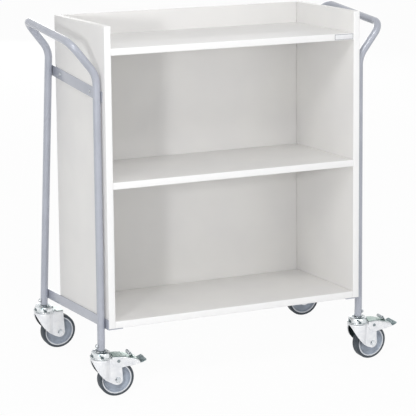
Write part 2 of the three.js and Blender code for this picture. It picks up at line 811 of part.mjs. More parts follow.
// One caster under a leg. Stem, dome and leg bolt stand still; the rest swivels round the stem.
function buildCaster(corner, side, legY) {
  const fixed = new THREE.Group();
  fixed.position.set(side * frameOffset, legY, 0);
  trolley.add(fixed);
  const boltHeight = legEndHeight + legBoltAboveEnd;
  const boltHole = rod(legBoltRadius + seam, [-tubeRadius, 0, boltHeight], [tubeRadius, 0, boltHeight]);
  piece(fixed, `stem_${corner}`, cut(stem(), [boltHole]), zinc);
  piece(fixed, `swivel_dome_${corner}`, swivelDome(), zinc);
  const bolt = piece(fixed, `leg_bolt_${corner}`, legBolt(), zinc);
  bolt.position.set(side * (tubeRadius + seam), 0, boltHeight);
  bolt.rotation.z = side > 0 ? Math.PI : 0;

  const swivel = new THREE.Group();
  swivel.rotation.z = THREE.MathUtils.degToRad(casterSwingDegrees[corner]);
  fixed.add(swivel);
  const braked = corner.startsWith('front');
  const roofEnd = braked ? casterTrail - pedalPinRadius - cutOverrun : cheekTopEnd;
  piece(swivel, `fork_${corner}`, fork(roofEnd, braked), galvanised);
  const axle = new THREE.Group();
  axle.position.set(casterTrail, 0, wheelRadius);
  swivel.add(axle);
  piece(axle, `axle_bolt_${corner}`, axleBolt(), zinc);
  piece(axle, `wheel_hub_${corner}`, hub(), hubPlastic);
  piece(axle, `tyre_${corner}`, tyre(), tyreRubber);
  if (braked) {
    const pivot = new THREE.Group();
    pivot.position.set(casterTrail, 0, pivotHeight);
    swivel.add(pivot);
    piece(pivot, `brake_pedal_${corner}`, pedal(), zinc);
    piece(pivot, `brake_shoe_${corner}`, brakeShoe(), galvanised);
    piece(pivot, `pedal_pin_${corner}`, pedalPin(), zinc);
  }
}

buildCabinet();
buildFrames();
for (const [sideName, side] of [['left', -1], ['right', 1]]) {
  buildCaster(`front_${sideName}`, side, frontLegY(legKneeHeight));
  buildCaster(`rear_${sideName}`, side, rearLegY);
}

// The origin is on the floor, under the middle of the whole trolley's box.
trolley.updateMatrixWorld(true);
const box = new THREE.Box3().setFromObject(trolley, true);
const middle = box.getCenter(new THREE.Vector3());
trolley.position.set(-middle.x, -middle.y, -box.min.z);

export default trolley;
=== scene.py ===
# %% [markdown]
# # An office trolley
# A white board cabinet with a tray on top hangs between two bent tube frames, which stand on four
# swivel casters. The exact model of its pieces is the fixed frame. This notebook dresses that
# frame: it makes the fine surfaces and finishes, and leaves every size as the frame has it.
# All lengths are in metres, +X is to the right, +Y to the back and +Z up.

# %% The frame and its box
import json
import math

import bmesh
import bpy
import numpy as np
from mathutils import Matrix, Vector


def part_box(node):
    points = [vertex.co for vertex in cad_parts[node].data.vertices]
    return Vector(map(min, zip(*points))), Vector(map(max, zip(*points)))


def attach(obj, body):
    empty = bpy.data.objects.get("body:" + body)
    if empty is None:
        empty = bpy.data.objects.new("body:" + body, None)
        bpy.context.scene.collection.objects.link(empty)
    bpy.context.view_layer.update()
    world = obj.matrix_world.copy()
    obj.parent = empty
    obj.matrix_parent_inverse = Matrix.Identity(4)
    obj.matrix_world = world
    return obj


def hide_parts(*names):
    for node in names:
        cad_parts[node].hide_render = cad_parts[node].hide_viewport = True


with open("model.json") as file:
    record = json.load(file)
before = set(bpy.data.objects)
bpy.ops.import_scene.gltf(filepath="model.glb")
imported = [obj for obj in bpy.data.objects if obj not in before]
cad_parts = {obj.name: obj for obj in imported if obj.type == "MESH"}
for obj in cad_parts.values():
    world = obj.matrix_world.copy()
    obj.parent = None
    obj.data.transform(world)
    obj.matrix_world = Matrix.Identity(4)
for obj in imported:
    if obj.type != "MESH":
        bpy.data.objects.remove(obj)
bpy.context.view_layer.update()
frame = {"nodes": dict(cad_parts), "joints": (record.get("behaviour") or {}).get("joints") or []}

# %% [markdown]
# ## The camera
# The photograph was taken from the front left, a little above the tray. A camera could be placed
# by eye, but these values come from matching about a hundred corners of the cabinet, the frames
# and the wheels. The small shift is the photograph's own framing.

# %% Camera
IMAGE_SIDE = 416
SENSOR_WIDTH = 36.0
FOCAL_PIXELS = 2125.641
PRINCIPAL_PIXEL = (232.96, 183.026)
CAMERA_PLACE = (-2.656807, -5.153722, 2.144841)
CAMERA_YAW, CAMERA_PITCH, CAMERA_ROLL = (math.radians(a) for a in (27.822, 15.718, -2.44))


def add_object(name, data):
    """Links a new object to the scene."""
    made = bpy.data.objects.new(name, data)
    bpy.context.scene.collection.objects.link(made)
    return made


def camera_axes(yaw, pitch, roll):
    """Right, up and backward unit vectors. Forward is the +Y axis turned right by yaw and down by
    pitch; right is level, and both right and up are then turned about forward by roll."""
    level = math.cos(pitch)
    forward = np.array([math.sin(yaw) * level, math.cos(yaw) * level, -math.sin(pitch)])
    right = np.array([math.cos(yaw), -math.sin(yaw), 0.0])
    down = np.cross(forward, right)
    turned_right = math.cos(roll) * right + math.sin(roll) * down
    turned_down = -math.sin(roll) * right + math.cos(roll) * down
    return turned_right, -turned_down, -forward


camera_data = bpy.data.cameras.new("camera")
camera_data.sensor_width = SENSOR_WIDTH
camera_data.lens = FOCAL_PIXELS / IMAGE_SIDE * SENSOR_WIDTH
camera_data.shift_x = (IMAGE_SIDE / 2 - PRINCIPAL_PIXEL[0]) / IMAGE_SIDE
camera_data.shift_y = (PRINCIPAL_PIXEL[1] - IMAGE_SIDE / 2) / IMAGE_SIDE
camera = add_object("camera", camera_data)
axes = Matrix(np.column_stack(camera_axes(CAMERA_YAW, CAMERA_PITCH, CAMERA_ROLL)).tolist())
camera.matrix_world = Matrix.Translation(CAMERA_PLACE) @ axes.to_4x4()
bpy.context.scene.camera = camera
bpy.context.scene.view_settings.view_transform = "Standard"
print("lens", round(camera_data.lens, 1), "mm, shift", round(camera_data.shift_x, 3),
      round(camera_data.shift_y, 3))

# %% [markdown]
# ## Surfaces from formulas
# Most pieces here are pressed sheet, turned metal, bent tube or board. Each could be pushed and
# pulled into shape by hand, but a formula keeps it exact and easy to change. So a piece is one or
# more grids of points, worked out as whole arrays, and one helper turns grids into a mesh.

# %% Grids to meshes
MERGE = 2e-6
SHARP_ANGLE = math.radians(35)


def grid_quads(rows, columns, close_rows=False, close_columns=False):
    """The quads between neighbours of a grid. Point (i, j) has the number i * columns + j, and a
    closed direction joins its last line to its first."""
    i = np.arange(rows if close_rows else rows - 1)[:, None]
    j = np.arange(columns if close_columns else columns - 1)[None, :]
    below, beside = (i + 1) % rows, (j + 1) % columns
    corners = (i * columns + j, below * columns + j, below * columns + beside, i * columns + beside)
    return np.stack(np.broadcast_arrays(*corners), -1).reshape(-1, 4)


def mesh_from_grids(name, grids, fill=False):
    """One mesh from a list of (points, close_rows, close_columns). Doubles merge, so that poles and
    seams close, fill caps open ends, and edges past the sharp angle stay sharp."""
    points, quads, start = [], [], 0
    for grid, close_rows, close_columns in grids:
        rows, columns = grid.shape[:2]
        points.append(grid.reshape(-1, 3))
        quads.append(grid_quads(rows, columns, close_rows, close_columns) + start)
        start += rows * columns
    mesh = bpy.data.meshes.new(name)
    mesh.from_pydata(np.concatenate(points).tolist(), [], np.concatenate(quads).tolist())
    clean = bmesh.new()
    clean.from_mesh(mesh)
    bmesh.ops.remove_doubles(clean, verts=clean.verts, dist=MERGE)
    bmesh.ops.dissolve_degenerate(clean, edges=clean.edges, dist=MERGE)
    if fill:
        bmesh.ops.holes_fill(clean, edges=[e for e in clean.edges if e.is_boundary])
    bmesh.ops.recalc_face_normals(clean, faces=clean.faces)
    clean.to_mesh(mesh)
    clean.free()
    mesh.shade_smooth()
    mesh.set_sharp_from_angle(angle=SHARP_ANGLE)
    return mesh


print("quads of a 3 by 4 grid:", len(grid_quads(3, 4)))

# %% Pieces on bodies
PIECES = {}
BEVEL_STEPS = 2
BEVEL_ANGLE = math.radians(50)


def add_piece(name, grids, finish, body, slot, node, fill=False, sheet=0.0, bevel=0.0,
              inside=None):
    """Makes a piece that rides on a body and replaces a node. A sheet gets its thickness to both
    sides and may have another finish inside, and a bevel rounds its edges."""
    mesh = mesh_from_grids(name, grids, fill)
    piece = add_object(name, mesh)
    mesh.materials.append(finish)
    if sheet:
        wall = piece.modifiers.new("wall", "SOLIDIFY")
        wall.thickness, wall.offset = sheet, 0.0
        if inside:
            mesh.materials.append(inside)
            wall.material_offset = 1
    if bevel:
        edge = piece.modifiers.new("edge", "BEVEL")
        edge.width, edge.segments, edge.limit_method = bevel, BEVEL_STEPS, "ANGLE"
        edge.angle_limit = BEVEL_ANGLE
        edge.harden_normals = True
    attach(piece, body)
    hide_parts(node)
    PIECES[name] = len(mesh.polygons)


print("a bevel rounds edges past", round(math.degrees(BEVEL_ANGLE)), "degrees")

# %% [markdown]
# Two more helpers come back in every cell below: one rounds the corners of a line, for tube bends
# and for the small radii of a turned or pressed section, and one turns a profile round an axis.

# %% Rounded lines and turned profiles
TINY = 1e-12


def rounded(corners, radii, steps=4):
    """A line through corners whose bends are arcs. At a corner with turn t and radius r, the arc
    starts r * tan(t / 2) before it and follows start + r * (sin a * before + (1 - cos a) * inward)
    for a from 0 to t."""
    corners = np.asarray(corners, float)
    radii = np.broadcast_to(radii, len(corners) - 2)
    stretches = [corners[:1]]
    for radius, previous, corner, following in zip(radii, corners, corners[1:], corners[2:]):
        before = (corner - previous) / np.linalg.norm(corner - previous)
        after = (following - corner) / np.linalg.norm(following - corner)
        bend = math.acos(np.clip(before @ after, -1, 1))
        inward = after - before * (before @ after)
        inward /= max(np.linalg.norm(inward), TINY)
        start = corner - before * radius * math.tan(bend / 2)
        a = np.linspace(0, bend, steps + 1)[:, None]
        stretches.append(start + radius * (np.sin(a) * before + (1 - np.cos(a)) * inward))
    stretches.append(corners[-1:])
    return np.concatenate(stretches)


def run(line):
    """How far along a line each of its points lies."""
    return np.concatenate([[0], np.cumsum(np.linalg.norm(np.diff(line, axis=0), axis=1))])


def turned(profile, sides, hexagon=0.0):
    """A profile of (radius, height) turned round the Z axis. Where hexagon is 1 the radius at angle
    a is multiplied by cos 30 / cos(a mod 60 - 30), which makes the ring six-sided."""
    radius, height = np.asarray(profile, float).T
    a = np.linspace(0, 2 * math.pi, sides, endpoint=False)
    six = math.cos(math.pi / 6) / np.cos(a % (math.pi / 3) - math.pi / 6)
    share = np.broadcast_to(hexagon, len(radius))[:, None]
    reach = radius[:, None] * (1 + share * (six - 1))
    return np.stack([reach * np.cos(a), reach * np.sin(a), height[:, None] + 0 * a], -1)


print("points of a rounded corner:", len(rounded([(0, 0), (1, 0), (1, 1)], 0.2)))

# %% [markdown]
# ## The leaning cabinet
# The cabinet leans back between its frames, so its boards are worked out upright and then turned.
# The frame already holds each board: its corners are read from its node after turning it upright.

# %% Where the boards are
CORNERS = ("front_left", "rear_left", "front_right", "rear_right")
SIDES = {"left": -1, "right": 1}
TILT = math.radians(6)
TILT_SIN, TILT_COS = math.sin(TILT), math.cos(TILT)
LEAN = np.array([[1, 0, 0], [0, TILT_COS, TILT_SIN], [0, -TILT_SIN, TILT_COS]])
FRAME_BODY = "frame"


def upright_box(node):
    """Lowest and highest corner of a node in the cabinet's own upright axes."""
    mesh = frame["nodes"][node].data
    points = np.empty(len(mesh.vertices) * 3, np.float32)
    mesh.vertices.foreach_get("co", points)
    upright = points.reshape(-1, 3).astype(float) @ LEAN
    return upright.min(0), upright.max(0)


def leaning(points):
    """Points in the cabinet's upright axes, turned to where the cabinet leans."""
    return points @ LEAN.T


def in_mm(box):
    """Width, depth and height of a (lowest, highest) pair of corners, to print."""
    return [round((high - low) * 1000, 1) for low, high in zip(*box)]


for board in ("side_panel_left", "top_shelf", "back_panel"):
    print(board, "is", in_mm(upright_box(board)), "mm")

# %% [markdown]
# ## Finishes
# A finish could be one colour and one roughness, but real coats vary: powder coat has a fine orange
# peel, zinc plating is cloudy, a coated board has a faint grain. Each finish is written as formulas
# on wires. A wire wraps a socket, and a formula on wires adds the Math nodes that work it out.

# %% Wires and formulas
class Wire:
    """An output socket that can stand in a formula: a + b, 1 - mask, noise * 0.3."""

    def __init__(self, tree, socket=None):
        self.tree, self.socket = tree, socket

    def node(self, kind, sockets=(), out=0, **settings):
        """Adds a node. Its sockets go by name or place, each a number, a colour or a wire."""
        made = self.tree.nodes.new("ShaderNode" + kind)
        for name, value in settings.items():
            setattr(made, name, value)
        for place, value in dict(sockets).items():
            if isinstance(value, Wire):
                self.tree.links.new(value.socket, made.inputs[place])
            else:
                made.inputs[place].default_value = value
        return Wire(self.tree, made.outputs[out])

    def math(self, operation, *values):
        return self.node("Math", enumerate(values), operation=operation)

    def __add__(self, other):
        return self.math("ADD", self, other)

    def __sub__(self, other):
        return self.math("SUBTRACT", self, other)

    def __rsub__(self, other):
        return self.math("SUBTRACT", other, self)

    def __mul__(self, other):
        return self.math("MULTIPLY", self, other)

    __radd__, __rmul__ = __add__, __mul__

    def between(self, low, high):
        """0 below low, 1 above high, and a smooth step from one to the other."""
        places = {"Value": self, "From Min": low, "From Max": high}
        return self.node("MapRange", places, interpolation_type="SMOOTHSTEP")

    def blend(self, colour, other):
        """This wire is the share of the second colour in a mix with the first."""
        return self.node("Mix", {0: self, 6: colour, 7: other}, out=2, data_type="RGBA")


def paint(red, green, blue):
    """The linear colour of an sRGB colour from 0 to 255."""
    srgb = np.array([red, green, blue]) / 255
    linear = np.where(srgb <= 0.04045, srgb / 12.92, ((srgb + 0.055) / 1.055) ** 2.4)
    return (*linear.tolist(), 1.0)


print("mid grey as linear light:", round(paint(128, 128, 128)[0], 3))

# %% A new finish
def new_finish(name, **constants):
    """A material, a wire to build on, and the function that plugs wires into its shader."""
    material = bpy.data.materials.new(name)
    material.use_nodes = True
    shader = material.node_tree.nodes["Principled BSDF"]
    for place, value in constants.items():
        shader.inputs[place.replace("_", " ")].default_value = value

    def plug(**wires):
        for place, wire in wires.items():
            material.node_tree.links.new(wire.socket, shader.inputs[place.replace("_", " ")])

    return material, Wire(material.node_tree), plug


def place_in(wire, stretch=None):
    """The place of a point on its piece, stretched for a pattern that runs one way."""
    here = wire.node("TexCoord", out="Object")
    return wire.node("Mapping", {"Vector": here, "Scale": stretch}) if stretch else here


def cloud(wire, here, per_metre, detail, rough=0.5):
    """Noise from 0 to 1 with that many cells in a metre."""
    places = {"Vector": here, "Scale": per_metre, "Detail": detail, "Roughness": rough}
    return wire.node("TexNoise", places)


def relief(wire, height, depth, strength):
    """A Bump node: a height from 0 to 1 that is depth metres deep."""
    return wire.node("Bump", {"Strength": strength, "Distance": depth, "Height": height})


print("helpers:", [made.__name__ for made in (new_finish, place_in, cloud, relief)])

# %% [markdown]
# The cabinet's boards are coated chipboard. The coat is a pale grey white, satin, with a very fine
# texture that only shows in the gloss. The band on the front edges is whiter. It could be a piece
# of its own, but it's thinner than a hair, so it is a formula: how far a point lies behind the
# leaning front plane tells whether it's on the band.

# %% Board white
BOARD_WHITE, BOARD_SHADE = paint(238, 237, 235), paint(234, 233, 232)
BAND_WHITE = paint(248, 248, 248)
BAND_DEPTH, BAND_BLUR = 0.0011, 0.0005
FRONT_PLANE = float(upright_box("top_shelf")[0][1])

BOARD, wire, plug = new_finish("white_board", Specular_IOR_Level=0.4)
here = place_in(wire)
grain = cloud(wire, here, 900, 4)
patches = cloud(wire, here, 6, 2)
face = patches.between(0.3, 0.7).blend(BOARD_WHITE, BOARD_SHADE)
y, z = (wire.node("SeparateXYZ", {0: here}, out=axis) for axis in "YZ")
# Behind the front plane by y * cos(tilt) - z * sin(tilt) less the plane's own place.
behind = y * TILT_COS - z * TILT_SIN - FRONT_PLANE
band = behind.between(BAND_DEPTH + BAND_BLUR, BAND_DEPTH)
plug(
    Base_Color=band.blend(face, BAND_WHITE),
    Roughness=0.38 + grain * 0.14,
    Normal=relief(wire, grain, 0.00004, 0.5),
)
print("nodes in the board's finish:", len(BOARD.node_tree.nodes))

# %% [markdown]
# The tubes and bars are powder coated: a slightly bluish grey, semi-gloss, with orange peel. Each
# grain of powder melts into a soft hill a millimetre wide, so the relief is a noise of that size.

# %% Powder coat
FRAME_GREY, FRAME_SHADE = paint(178, 182, 193), paint(168, 172, 183)

POWDER, wire, plug = new_finish("grey_powder_coat", Coat_Weight=0.8, Coat_Roughness=0.08)
here = place_in(wire)
peel = cloud(wire, here, 950, 1)
drift = cloud(wire, here, 14, 3)
plug(
    Base_Color=drift.between(0.25, 0.75).blend(FRAME_GREY, FRAME_SHADE),
    Roughness=0.36 + drift * 0.12,
    Metallic=0.12 + peel * 0.1,
    Normal=relief(wire, peel, 0.00006, 0.4),
)
print("nodes in the powder coat:", len(POWDER.node_tree.nodes))

# %% [markdown]
# Zinc plating comes in a few looks here: bright on the domes, the pedals' bends and the stems, a
# little darker on bolts and screws, greenish on the pedals' tops and lips, and pale and matt on the
# forks. On the pedals' bends the bright zinc is a painted highlight along the bend. The forks'
# inner faces get a dark finish, painted shade where no light gets in. All have soft clouds in
# colour and gloss, and the fine lines that rolled sheet leaves under its plating. Bright plating
# also mirrors dark things round it. Dark cards round the scene would draw those reflections. Here
# they are painted reflection: the colour itself turns dark by a sine of the surface's own
# direction, bent by noise. So the painted reflection stays on the piece when the piece turns.

# %% Zinc plating
REFLECTION_TURNS = (5.3, -2.8, 9.0)
UPRIGHT, ACROSS, ALONG = (1, 1, 9), (9, 1, 1), (1, 9, 9)


def zinc_finish(name, light, dark, gloss, lines_run, metal, painted_reflection=None):
    """Clouds mix the light and the dark colour. painted_reflection is a deep colour, its share and
    a
    phase: a painted reflection of dark surroundings, which comes in where
    sin(direction . REFLECTION_TURNS + noise + phase) is high."""
    material, wire, plug = new_finish(name)
    here = place_in(wire)
    clouds = cloud(wire, here, 55, 4, 0.6)
    lines = cloud(wire, place_in(wire, lines_run), 260, 2)
    colour = clouds.between(0.35, 0.7).blend(paint(*light), paint(*dark))
    if painted_reflection:
        deep, share, phase = painted_reflection
        direction = wire.node("TexCoord", out="Normal")
        turns = wire.node("VectorMath", {0: direction, 1: REFLECTION_TURNS}, "Value",
                          operation="DOT_PRODUCT")
        # Painted reflection: the colour turns to the deep colour where dark surroundings would be
        # mirrored.
        wave = wire.math("SINE", turns + cloud(wire, here, 90, 2) * 1.2 + phase)
        colour = (wave.between(0.3, 0.95) * share).blend(colour, paint(*deep))
    plug(
        Base_Color=colour,
        Metallic=metal + clouds * 0.08,
        Roughness=gloss + clouds * 0.16 + lines * 0.06,
        Normal=relief(wire, lines, 0.00005, 0.35),
    )
    return material


# Bright, bolt and lip zinc end with a painted reflection: deep colour, share and phase.
BRIGHT_ZINC = zinc_finish("bright_zinc", (244, 246, 248), (216, 222, 224), 0.13, UPRIGHT, 0.85,
                          ((52, 74, 78), 0.9, -1.7))
BOLT_ZINC = zinc_finish("bolt_zinc", (236, 239, 242), (206, 212, 216), 0.16, UPRIGHT, 0.85,
                        ((50, 60, 66), 0.9, -5.0))
PEDAL_ZINC = zinc_finish("pedal_zinc", (182, 198, 193), (158, 177, 170), 0.2, ACROSS, 0.85)
LIP_ZINC = zinc_finish("lip_zinc", (190, 204, 206), (146, 164, 167), 0.2, ACROSS, 0.85,
                       ((54, 70, 76), 0.7, -2.9))
PIN_ZINC = zinc_finish("pin_zinc", (150, 160, 163), (128, 138, 142), 0.3, ACROSS, 0.7)
FORK_ZINC = zinc_finish("fork_zinc", (247, 248, 250), (234, 236, 240), 0.32, ALONG, 0.3)
PLATE_ZINC = zinc_finish("plate_zinc", (226, 235, 232), (208, 219, 216), 0.3, ALONG, 0.5)
# Painted shade: a dark finish for the forks' inner faces and for the pads under the top plates.
FORK_PAINTED_SHADE = zinc_finish("fork_inside", (52, 64, 66), (38, 48, 50), 0.45, ALONG, 0.3)
print("finishes so far:", [material.name for material in bpy.data.materials])

# %% [markdown]
# The tyres are soft grey rubber with dust in the pores, the hubs moulded plastic, and the label a
# bare satin plate.

# %% Rubber, plastic and label
WIDE_TO_FINE = 24


def dull_finish(name, light, dark, rough, per_metre, depth):
    """Fine grain in gloss and relief, and patches WIDE_TO_FINE times as wide in the colour."""
    material, wire, plug = new_finish(name, Specular_IOR_Level=0.35)
    here = place_in(wire)
    grain = cloud(wire, here, per_metre, 4)
    wide = cloud(wire, here, per_metre / WIDE_TO_FINE, 3)
    plug(
        Base_Color=wide.between(0.3, 0.75).blend(paint(*light), paint(*dark)),
        Roughness=rough + grain * 0.12,
        Normal=relief(wire, grain, depth, 0.5),
    )
    return material


TYRE = dull_finish("tyre_rubber", (76, 83, 90), (60, 66, 73), 0.5, 1100, 0.00008)
HUB = dull_finish("hub_plastic", (174, 183, 196), (152, 160, 172), 0.36, 1300, 0.00003)
RIM = dull_finish("rim_plastic", (226, 229, 234), (216, 219, 225), 0.35, 1300, 0.00002)
LABEL = dull_finish("label_face", (238, 239, 241), (232, 233, 236), 0.32, 1500, 0.00001)
LABEL_EDGE = dull_finish("label_edge", (140, 143, 150), (130, 133, 140), 0.4, 1500, 0.00001)
print("all finishes:", len(bpy.data.materials))

# %% [markdown]
# ## The cabinet's boards
# A board has softly rounded edges, which catch the light as thin bright lines. A box with a Bevel
# modifier would do. Here it is one formula: a small ball's surface, whose eight parts are pushed
# apart to the eight corners of a smaller box.

# %% Rounded boxes
MIRROR = np.array([1, -1, 1])
EIGHTHS = ((1, -1, -1, 1), (1, 1, -1, -1), (-1, 1))


def rounded_box(low, high, radius, steps=3):
    """A ball's point is radius * (cos u cos v, cos u sin v, sin u). Each point moves by the sign of
    its direction times half the size of the box less the radius."""
    low, high = np.asarray(low, float), np.asarray(high, float)
    quarter = np.linspace(0, math.pi / 2, steps + 1)
    u = np.concatenate([quarter - math.pi / 2, quarter])[:, None]
    v = np.concatenate([quarter + k * math.pi / 2 for k in range(4)])[None, :]
    right, back, up = (np.repeat(signs, steps + 1) for signs in EIGHTHS)
    ball = np.stack([np.cos(u) * np.cos(v), np.cos(u) * np.sin(v), np.sin(u) + 0 * v], -1)
    push = np.stack([right + 0 * u, back + 0 * u, up[:, None] + 0 * v], -1)
    return (low + high) / 2 + radius * ball + ((high - low) / 2 - radius) * push


def add_box(name, points, finish, slot, node):
    """Adds a rounded box that rides on the frame."""
    add_piece(name, [(points, False, True)], finish, FRAME_BODY, slot, node, fill=True)


BOARD_EDGE = 0.0012
BOARDS = ("side_panel_left", "side_panel_right", "back_panel", "top_shelf", "middle_shelf",
          "bottom_shelf")
for board in BOARDS:
    points = leaning(rounded_box(*upright_box(board), BOARD_EDGE))
    add_box(board + "_coated", points, BOARD, "board_white", board)
print("boards:", PIECES)

# %% [markdown]
# The label is a bare plate with a thin grey rim round its face.

# %% Label plate
RIM_STEP, RIM_ROUND = (0, 0.0003, 0), 0.0002
FACE_INSET, FACE_ROUND = (0.0011, 0, 0.0011), 0.00015
low, high = upright_box("label_plate")
plate = rounded_box(low + RIM_STEP, high, RIM_ROUND)
face = rounded_box(low + FACE_INSET, high - FACE_INSET, FACE_ROUND)
add_box("label_rim", leaning(plate), LABEL_EDGE, "label_silver", "label_plate")
add_box("label_face", leaning(face), LABEL, "label_silver", "label_plate")
print("label is", in_mm((low, high)), "mm")

# %% [markdown]
# ## The tube frames
# Each frame is one tube, bent seven ways: up the front leg, out and over as the handle, and down
# the rear leg. A curve object with a bevel would make it too. Carrying a ring along the rounded
# line keeps full control: the ring's axes are square to the line, and because no stretch of the
# tube runs along X, the X axis can guide them all the way.

# %% A ring carried along a line
TUBE_SIDES = 40
GUIDE = np.array([1.0, 0, 0])


def carried(line, radius):
    """At each point of the line with tangent t, side = guide less its part along t, and up = t x
    side. The ring is line + radius * (side * cos a + up * sin a)."""
    along = np.gradient(line, axis=0)
    along /= np.linalg.norm(along, axis=1)[:, None]
    side = GUIDE - along * (along @ GUIDE)[:, None]
    side /= np.linalg.norm(side, axis=1)[:, None]
    up = np.cross(along, side)
    a = np.linspace(0, 2 * math.pi, TUBE_SIDES, endpoint=False)[None, :, None]
    return line[:, None] + radius * (side[:, None] * np.cos(a) + up[:, None] * np.sin(a))


def joint_place(name):
    """Where a joint of the frame is."""
    return np.array(next(joint for joint in frame["joints"] if joint["name"] == name)["pos_m"])


STEM = {corner: joint_place("swivel_" + corner) for corner in CORNERS}
print("stems at", {corner: [round(v, 4) for v in place[:2]] for corner, place in STEM.items()})

# %% Handle tubes
TUBE_RADIUS = 0.0105
TUBE_WALL = 0.0015
KNEE_HEIGHT, FOLD_HEIGHT = 0.160, 0.880
HANDLE_REACH = 0.115
TUBE_BENDS = (0.060, 0.070, 0.038, 0.038, 0.070)
BEND_STEPS = 14


def handle_line(side_name, side):
    """The tube's centreline: the corners of its path, rounded to their bend radii."""
    low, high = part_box("handle_tube_" + side_name)
    foot, top = low[2], high[2] - TUBE_RADIUS
    grip = low[0] + TUBE_RADIUS if side < 0 else high[0] - TUBE_RADIUS
    x, front, _ = STEM["front_" + side_name]
    rear = STEM["rear_" + side_name][1]
    lean = math.tan(TILT)
    fold = front + (FOLD_HEIGHT - KNEE_HEIGHT) * lean
    corners = [(x, front, foot), (x, front, KNEE_HEIGHT), (x, fold, FOLD_HEIGHT),
               (grip, fold + HANDLE_REACH * lean, top), (grip, rear, top),
               (x, rear, FOLD_HEIGHT), (x, rear, foot)]
    return rounded(corners, TUBE_BENDS, BEND_STEPS)


for side_name, side in SIDES.items():
    line = handle_line(side_name, side)
    outer, inner = carried(line, TUBE_RADIUS), carried(line, TUBE_RADIUS - TUBE_WALL)
    wall = [(np.concatenate([outer, inner[::-1]]), True, True)]
    add_piece("bent_tube_" + side_name, wall, POWDER, FRAME_BODY, "frame_grey",
              "handle_tube_" + side_name)
    print("tube", side_name, "is", round(float(run(line)[-1]), 3), "m long")

# %% [markdown]
# ## The crossbars
# A flat bar under each handle and an angle under the cabinet tie the legs together. Both are welded
# to the tubes. The angle's flat leg is as long as the cabinet; behind it only the upright leg runs
# on, so every section is the same L, trimmed to the width there.

# %% Crossbars
SHEET_BAR = 0.0025
ANGLE_UPRIGHT = 0.028
BAR_EDGE, INNER_BEND = 0.0006, 0.002
ANGLE_BENDS = (BAR_EDGE * 3, BAR_EDGE, BAR_EDGE, INNER_BEND, BAR_EDGE, BAR_EDGE)
FLAT_CORNER = 0.008


def angle_bar(side_name, side):
    """Sections along Y. The L's x runs from the outer face inwards and is cut to the flat leg's
    width there: full, then width - corner * (1 - sqrt(1 - s * s)), then the sheet."""
    low, high = upright_box("lower_crossbar_" + side_name)
    cabinet_back = upright_box("back_panel")[1][1]
    width = high[0] - low[0]
    corners = [(0, 0), (width, 0), (width, SHEET_BAR), (SHEET_BAR, SHEET_BAR),
               (SHEET_BAR, ANGLE_UPRIGHT), (0, ANGLE_UPRIGHT)]
    start = (0, ANGLE_UPRIGHT / 2)
    section = rounded([start, *corners, start], ANGLE_BENDS, 3)
    s = np.linspace(0, 1, 8)
    corner_y = cabinet_back - FLAT_CORNER * (1 - s)
    corner_width = width - FLAT_CORNER * (1 - np.sqrt(1 - s * s))
    stations = np.concatenate([[low[1]], corner_y, [cabinet_back, high[1]]])
    trims = np.concatenate([[width], corner_width, [SHEET_BAR, SHEET_BAR]])
    inward = np.minimum(section[None, :, 0], trims[:, None])
    x = (low[0] + inward) if side < 0 else (high[0] - inward)
    z = low[2] + section[None, :, 1] + 0 * inward
    return np.stack([x, stations[:, None] + 0 * inward, z], -1)


for side_name, side in SIDES.items():
    upper, lower = "upper_crossbar_" + side_name, "lower_crossbar_" + side_name
    bar = rounded_box(*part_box(upper), BAR_EDGE)
    add_box("upper_bar_" + side_name, bar, POWDER, "frame_grey", upper)
    angle = [(leaning(angle_bar(side_name, side)), False, False)]
    add_piece("lower_angle_" + side_name, angle, POWDER, FRAME_BODY, "frame_grey", lower, fill=True)
    print("upper bar", side_name, "is", in_mm(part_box(upper)), "mm")

# %% [markdown]
# ## Screws and bolts
# A round-headed screw could be a lathe shape alone, but its six-sided socket is what makes it read
# as a screw. The same turned profile does both: rings of the head are round, rings of the socket
# are six-sided, and the profile runs from the socket's floor over the crown to the seat.

# %% Button heads
HEAD_SIDES = 36
SOCKET_BEVEL = 0.0002
CROWN_START = 1.25


def button_head(radius, thickness, socket, depth):
    """A head that stands on the plane z = 0: its crown is a quarter ellipse, and its socket goes
    down by depth with a rim of its own."""
    a = np.linspace(0, math.pi / 2, 7)[1:]
    flat = socket * CROWN_START
    crown = np.stack([flat + (radius - flat) * np.sin(a), thickness * np.cos(a)], -1)
    floor = thickness - depth
    inside = [(0, floor), (socket, floor), (socket, thickness - SOCKET_BEVEL)]
    hexagon = [0, 1, 1, 0.5, *np.zeros(len(crown)), 0]
    return turned([*inside, (flat, thickness), *crown, (0, 0)], HEAD_SIDES, hexagon)


def facing(points, place, direction):
    """Turns +Z to a direction and moves the origin to a place."""
    turn = np.array(Vector(direction).to_track_quat("Z", "Y").to_matrix())
    return points @ turn.T + np.asarray(place, float)


def side_seat(node, side, thickness):
    """Where a head of that thickness sits so that it ends at a node's outer side."""
    low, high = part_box(node)
    x = low[0] + thickness if side < 0 else high[0] - thickness
    return x, (low[1] + high[1]) / 2, (low[2] + high[2]) / 2


def add_head(name, head, place, direction, node):
    """Adds a screw's or bolt's head that faces a direction."""
    grids = [(facing(head, place, direction), False, True)]
    add_piece(name, grids, BOLT_ZINC, FRAME_BODY, "bright_zinc", node)


SCREW = {"radius": 0.005, "thickness": 0.0026, "socket": 0.0018, "depth": 0.0015}
head = button_head(**SCREW)
down = leaning(np.array([0, 0, -1.0]))
for side_name, side in SIDES.items():
    for place in ("front", "rear"):
        end = f"{place}_{side_name}"
        seat = side_seat("upper_screw_" + end, side, SCREW["thickness"])
        add_head("upper_screw_head_" + end, head, seat, (side, 0, 0), "upper_screw_" + end)
        low, high = upright_box("lower_screw_" + end)
        seat = (low + high) / 2
        seat[2] = low[2] + SCREW["thickness"]
        add_head("lower_screw_head_" + end, head, leaning(seat), down, "lower_screw_" + end)
print("a screw head has", PIECES["lower_screw_head_" + end], "faces")

# %% [markdown]
# ## The casters
# All four casters have the same shape, turned round their stems by a few degrees. So each piece is
# worked out once, with +X from the stem to the axle and Z from the floor, and then put in its four
# places. The frame's joints give both places and turns.

